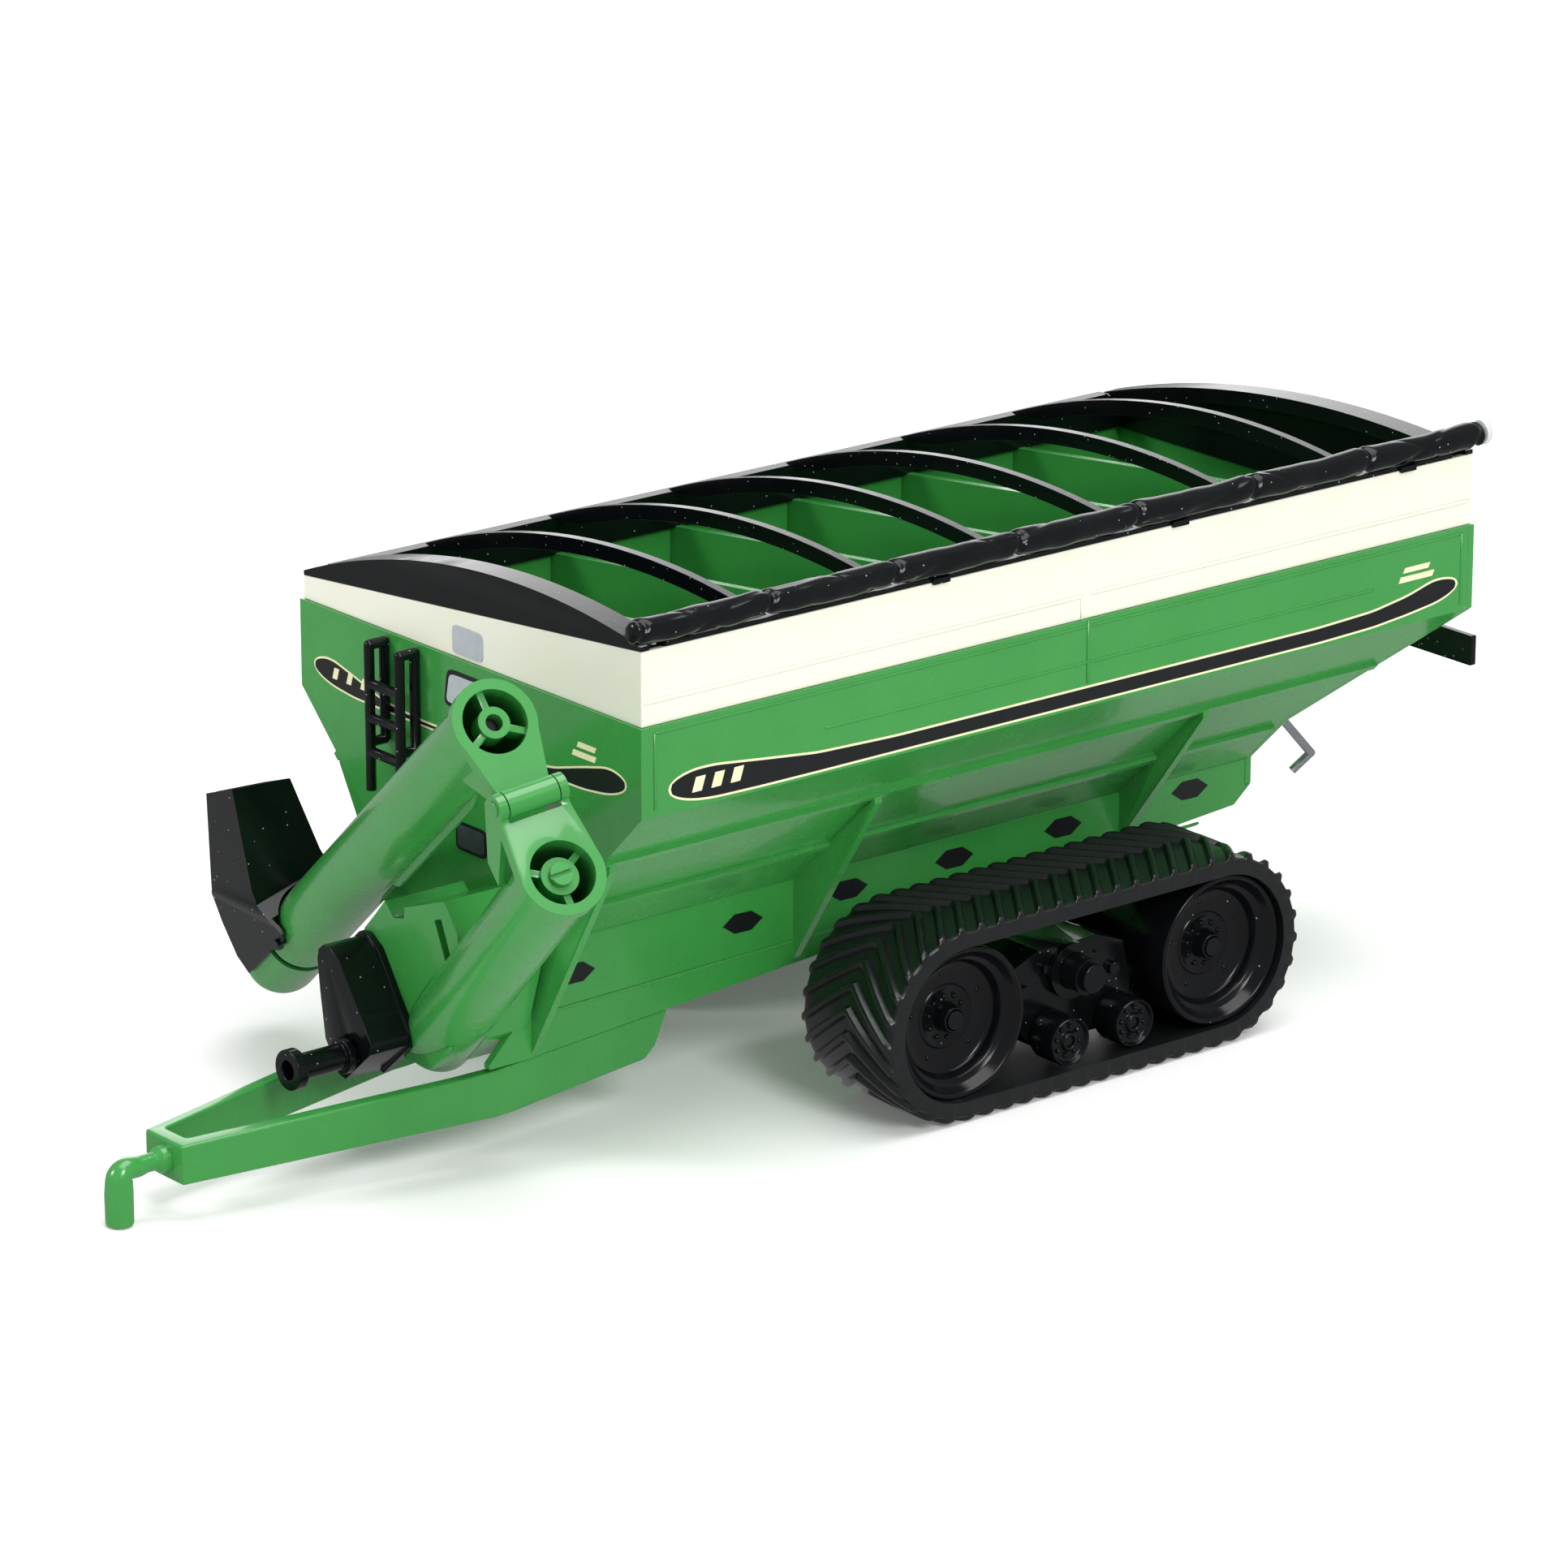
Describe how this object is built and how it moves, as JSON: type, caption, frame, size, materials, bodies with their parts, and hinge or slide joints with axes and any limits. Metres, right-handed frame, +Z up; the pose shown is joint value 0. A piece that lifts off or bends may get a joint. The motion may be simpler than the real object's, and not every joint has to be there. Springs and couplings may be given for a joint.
{
  "type": "grain cart",
  "caption": "Replica grain cart: sloped hopper under roof bows, folding side auger with a hinged chute, drawbar with a hitch peg, and rubber track units on a cross axle.",
  "frame": {"origin": "tip of the hitch peg, on the ground in the centre plane", "axes": "+X forward, towards the towing vehicle; +Y to the cart's left; +Z up"},
  "size_m": [0.158, 0.0772, 0.0603],
  "materials": {
    "green_casting": "gloss paint on a casting",
    "pale_paint": "gloss paint",
    "black_plastic": "gloss moulding",
    "belt_rubber": "smooth rubber with moulded tread",
    "grey_plastic": "printed grey panes",
    "bright_wire": "bare wire and screws"
  },
  "bodies": {
    "chassis": {"front_sheet": "green_casting", "rear_sheet": "green_casting", "left_side_sheet": "green_casting", "right_side_sheet": "green_casting", "trough": "green_casting", "upper_band": "pale_paint", "baffle_panels": "green_casting", "front_cap": "black_plastic", "rear_cap": "black_plastic", "roof_bows": "black_plastic", "right_rail": "black_plastic", "left_rail": "black_plastic", "tarp_roll": "black_plastic", "tarp_end_plug": "pale_paint", "tarp_clips": "black_plastic", "side_gussets": "green_casting", "sight_windows": "grey_plastic", "ladder": "black_plastic", "tongue": "green_casting", "hitch_peg": "green_casting", "axle_saddle": "green_casting", "cross_axle": "black_plastic", "left_hub_cap": "black_plastic", "right_hub_cap": "black_plastic", "light_bar": "black_plastic", "assembly_screws": "bright_wire", "auger_boot": "green_casting", "lower_tube": "green_casting", "lower_flange": "green_casting", "lower_hub": "green_casting", "hinge_pin": "green_casting", "gear_cover": "black_plastic"},
    "pto_drive": {"pto_shaft": "black_plastic"},
    "lower_screw": {"lower_shaft": "black_plastic"},
    "upper_auger": {"upper_tube": "green_casting", "upper_flange": "green_casting", "upper_hub": "green_casting", "elbow_cap": "green_casting", "clamp_band": "black_plastic", "spout_pins": "black_plastic"},
    "upper_screw": {"upper_shaft": "black_plastic"},
    "spout": {"spout_hood": "black_plastic"},
    "handle": {"rear_handle": "bright_wire"},
    "left_track": {"left_frame": "black_plastic", "left_belt": "belt_rubber"},
    "left_front_wheel_body": {"left_front_wheel": "black_plastic"},
    "left_rear_wheel_body": {"left_rear_wheel": "black_plastic"},
    "left_front_roller_body": {"left_front_roller": "black_plastic"},
    "left_rear_roller_body": {"left_rear_roller": "black_plastic"},
    "right_track": {"right_frame": "black_plastic", "right_belt": "belt_rubber"},
    "right_front_wheel_body": {"right_front_wheel": "black_plastic"},
    "right_rear_wheel_body": {"right_rear_wheel": "black_plastic"},
    "right_front_roller_body": {"right_front_roller": "black_plastic"},
    "right_rear_roller_body": {"right_rear_roller": "black_plastic"}
  },
  "joints": [
    {"name": "auger_fold", "type": "hinge", "parent": "chassis", "child": "upper_auger", "pos_m": [-0.02638, 0.03206, 0.04683], "axis": [-0.9737, 0.165, 0.1574], "range_deg": [0, 176.5]},
    {"name": "spout_tilt", "type": "hinge", "parent": "upper_auger", "child": "spout", "pos_m": [-0.04085, -0.02382, 0.01591], "axis": [-0.9479, 0.042, 0.3157], "range_deg": [0, 12]},
    {"name": "upper_screw_spin", "type": "hinge", "parent": "upper_auger", "child": "upper_screw", "pos_m": [-0.02728, 0.02337, 0.05039], "axis": [-0.2262, -0.7866, -0.5746], "continuous": true},
    {"name": "pto_spin", "type": "hinge", "parent": "chassis", "child": "pto_drive", "pos_m": [-0.0278, 0, 0.0113], "axis": [1, 0, 0], "continuous": true},
    {"name": "lower_screw_spin", "type": "hinge", "parent": "chassis", "child": "lower_screw", "pos_m": [-0.0265, 0.0372, 0.0407], "axis": [0.2275, 0.7488, 0.6225], "continuous": true},
    {"name": "handle_turn", "type": "hinge", "parent": "chassis", "child": "handle", "pos_m": [-0.14165, 0.01, 0.02806], "axis": [-0.6776, 0, -0.7354], "range_deg": [-60, 60]},
    {"name": "left_track_pivot", "type": "hinge", "parent": "chassis", "child": "left_track", "pos_m": [-0.0998, 0.024, 0.01134], "axis": [0, 1, 0], "range_deg": [-8, 8]},
    {"name": "left_front_wheel_spin", "type": "hinge", "parent": "left_track", "child": "left_front_wheel_body", "pos_m": [-0.08225, 0.024, 0.01054], "axis": [0, 1, 0], "continuous": true},
    {"name": "left_rear_wheel_spin", "type": "hinge", "parent": "left_track", "child": "left_rear_wheel_body", "pos_m": [-0.11735, 0.024, 0.01054], "axis": [0, 1, 0], "continuous": true},
    {"name": "left_front_roller_spin", "type": "hinge", "parent": "left_track", "child": "left_front_roller_body", "pos_m": [-0.097, 0.024, 0.00504], "axis": [0, 1, 0], "continuous": true},
    {"name": "left_rear_roller_spin", "type": "hinge", "parent": "left_track", "child": "left_rear_roller_body", "pos_m": [-0.1058, 0.024, 0.00504], "axis": [0, 1, 0], "continuous": true},
    {"name": "right_track_pivot", "type": "hinge", "parent": "chassis", "child": "right_track", "pos_m": [-0.0998, -0.024, 0.01134], "axis": [0, 1, 0], "range_deg": [-8, 8]},
    {"name": "right_front_wheel_spin", "type": "hinge", "parent": "right_track", "child": "right_front_wheel_body", "pos_m": [-0.08225, -0.024, 0.01054], "axis": [0, 1, 0], "continuous": true},
    {"name": "right_rear_wheel_spin", "type": "hinge", "parent": "right_track", "child": "right_rear_wheel_body", "pos_m": [-0.11735, -0.024, 0.01054], "axis": [0, 1, 0], "continuous": true},
    {"name": "right_front_roller_spin", "type": "hinge", "parent": "right_track", "child": "right_front_roller_body", "pos_m": [-0.097, -0.024, 0.00504], "axis": [0, 1, 0], "continuous": true},
    {"name": "right_rear_roller_spin", "type": "hinge", "parent": "right_track", "child": "right_rear_roller_body", "pos_m": [-0.1058, -0.024, 0.00504], "axis": [0, 1, 0], "continuous": true}
  ],
  "couplings": [
    {"joint": "lower_screw_spin", "follows": "pto_spin", "ratio": -1},
    {"joint": "left_rear_wheel_spin", "follows": "left_front_wheel_spin", "ratio": 1},
    {"joint": "left_front_roller_spin", "follows": "left_front_wheel_spin", "ratio": 3.1154},
    {"joint": "left_rear_roller_spin", "follows": "left_front_wheel_spin", "ratio": 3.1154},
    {"joint": "right_rear_wheel_spin", "follows": "right_front_wheel_spin", "ratio": 1},
    {"joint": "right_front_roller_spin", "follows": "right_front_wheel_spin", "ratio": 3.1154},
    {"joint": "right_rear_roller_spin", "follows": "right_front_wheel_spin", "ratio": 3.1154}
  ]
}
